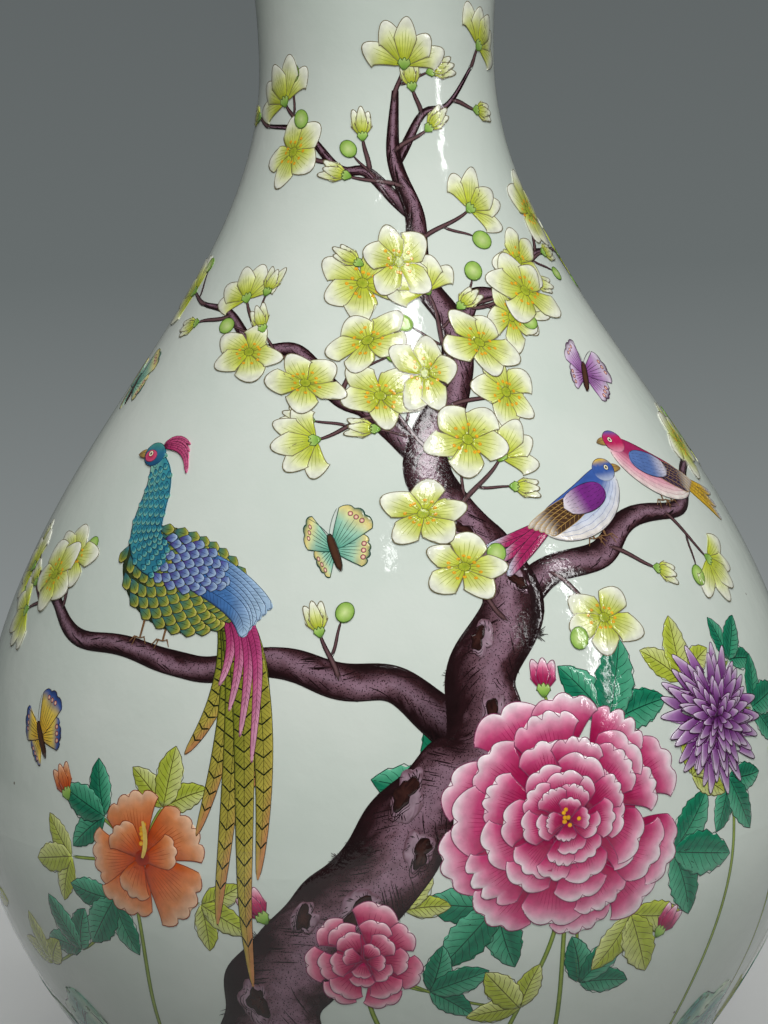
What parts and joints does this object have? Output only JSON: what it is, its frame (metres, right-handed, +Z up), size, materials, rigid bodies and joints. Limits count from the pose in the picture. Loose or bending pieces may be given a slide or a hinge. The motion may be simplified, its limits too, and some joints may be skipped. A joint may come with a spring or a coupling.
{
  "type": "pear-shaped vase",
  "caption": "Pear-shaped porcelain vase with a trumpet mouth on a turned foot ring, clear glazed and painted in overglaze enamels, that holds stems in its neck.",
  "frame": {"origin": "centre of the foot ring's standing face", "axes": "+Z up along the axis the vase is turned about, -Y towards the viewer of the picture, +X to the viewer's right"},
  "size_m": [0.182, 0.182, 0.3],
  "materials": {
    "porcelain_biscuit": "bare fired clay, matt",
    "porcelain_slip": "fired slip in the luted seams, matt",
    "clear_glaze": "clear glossy glaze with a faint grey-green tint",
    "overglaze_enamel": "painted enamels of many colours, fired on the glaze, slightly raised and glossy"
  },
  "bodies": {
    "root": {"foot_ring": "porcelain_biscuit", "foot_slip": "porcelain_slip", "lower_belly": "porcelain_biscuit", "belly_slip": "porcelain_slip", "upper_belly": "porcelain_biscuit", "neck_slip": "porcelain_slip", "neck": "porcelain_biscuit", "outer_glaze": "clear_glaze", "inner_glaze": "clear_glaze", "base_glaze": "clear_glaze"}
  },
  "joints": []
}
